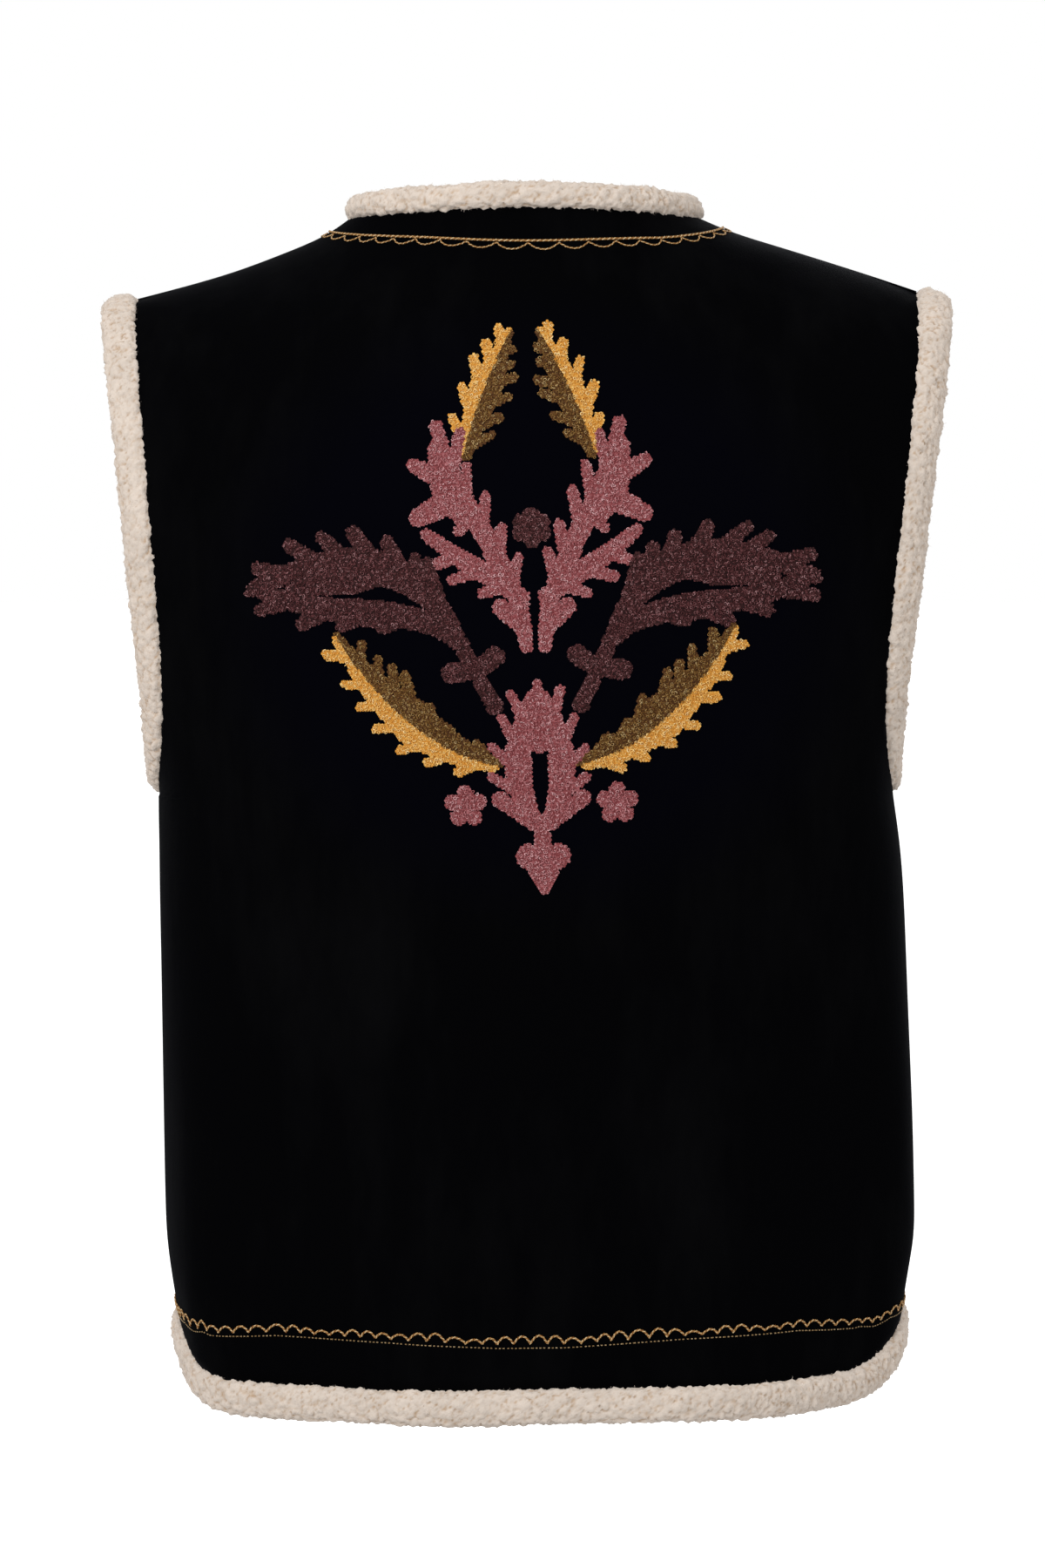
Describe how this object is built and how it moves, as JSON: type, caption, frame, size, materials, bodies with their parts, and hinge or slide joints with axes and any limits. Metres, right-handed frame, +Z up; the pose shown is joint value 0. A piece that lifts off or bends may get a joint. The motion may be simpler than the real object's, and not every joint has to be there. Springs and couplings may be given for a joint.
{
  "type": "sleeveless vest",
  "caption": "Sleeveless velvet vest, hollow and filled out, with thick sherpa edging at neck, armholes, front opening and hem.",
  "frame": {"origin": "middle of the shoulder line, where a wearer's shoulders hold the vest up", "axes": "+Z up, +Y towards the front opening, +X towards the wearer's right"},
  "size_m": [0.4445, 0.2316, 0.6394],
  "materials": {
    "velvet": "short black pile with a soft sheen at the edges",
    "sherpa": "cream looped pile in small curly nubs"
  },
  "bodies": {
    "root": {"back": "velvet", "front_right": "velvet", "front_left": "velvet", "armhole_edging_right": "sherpa", "armhole_edging_left": "sherpa", "front_edging_right": "sherpa", "front_edging_left": "sherpa", "hem_edging": "sherpa", "neck_edging": "sherpa"}
  },
  "joints": []
}
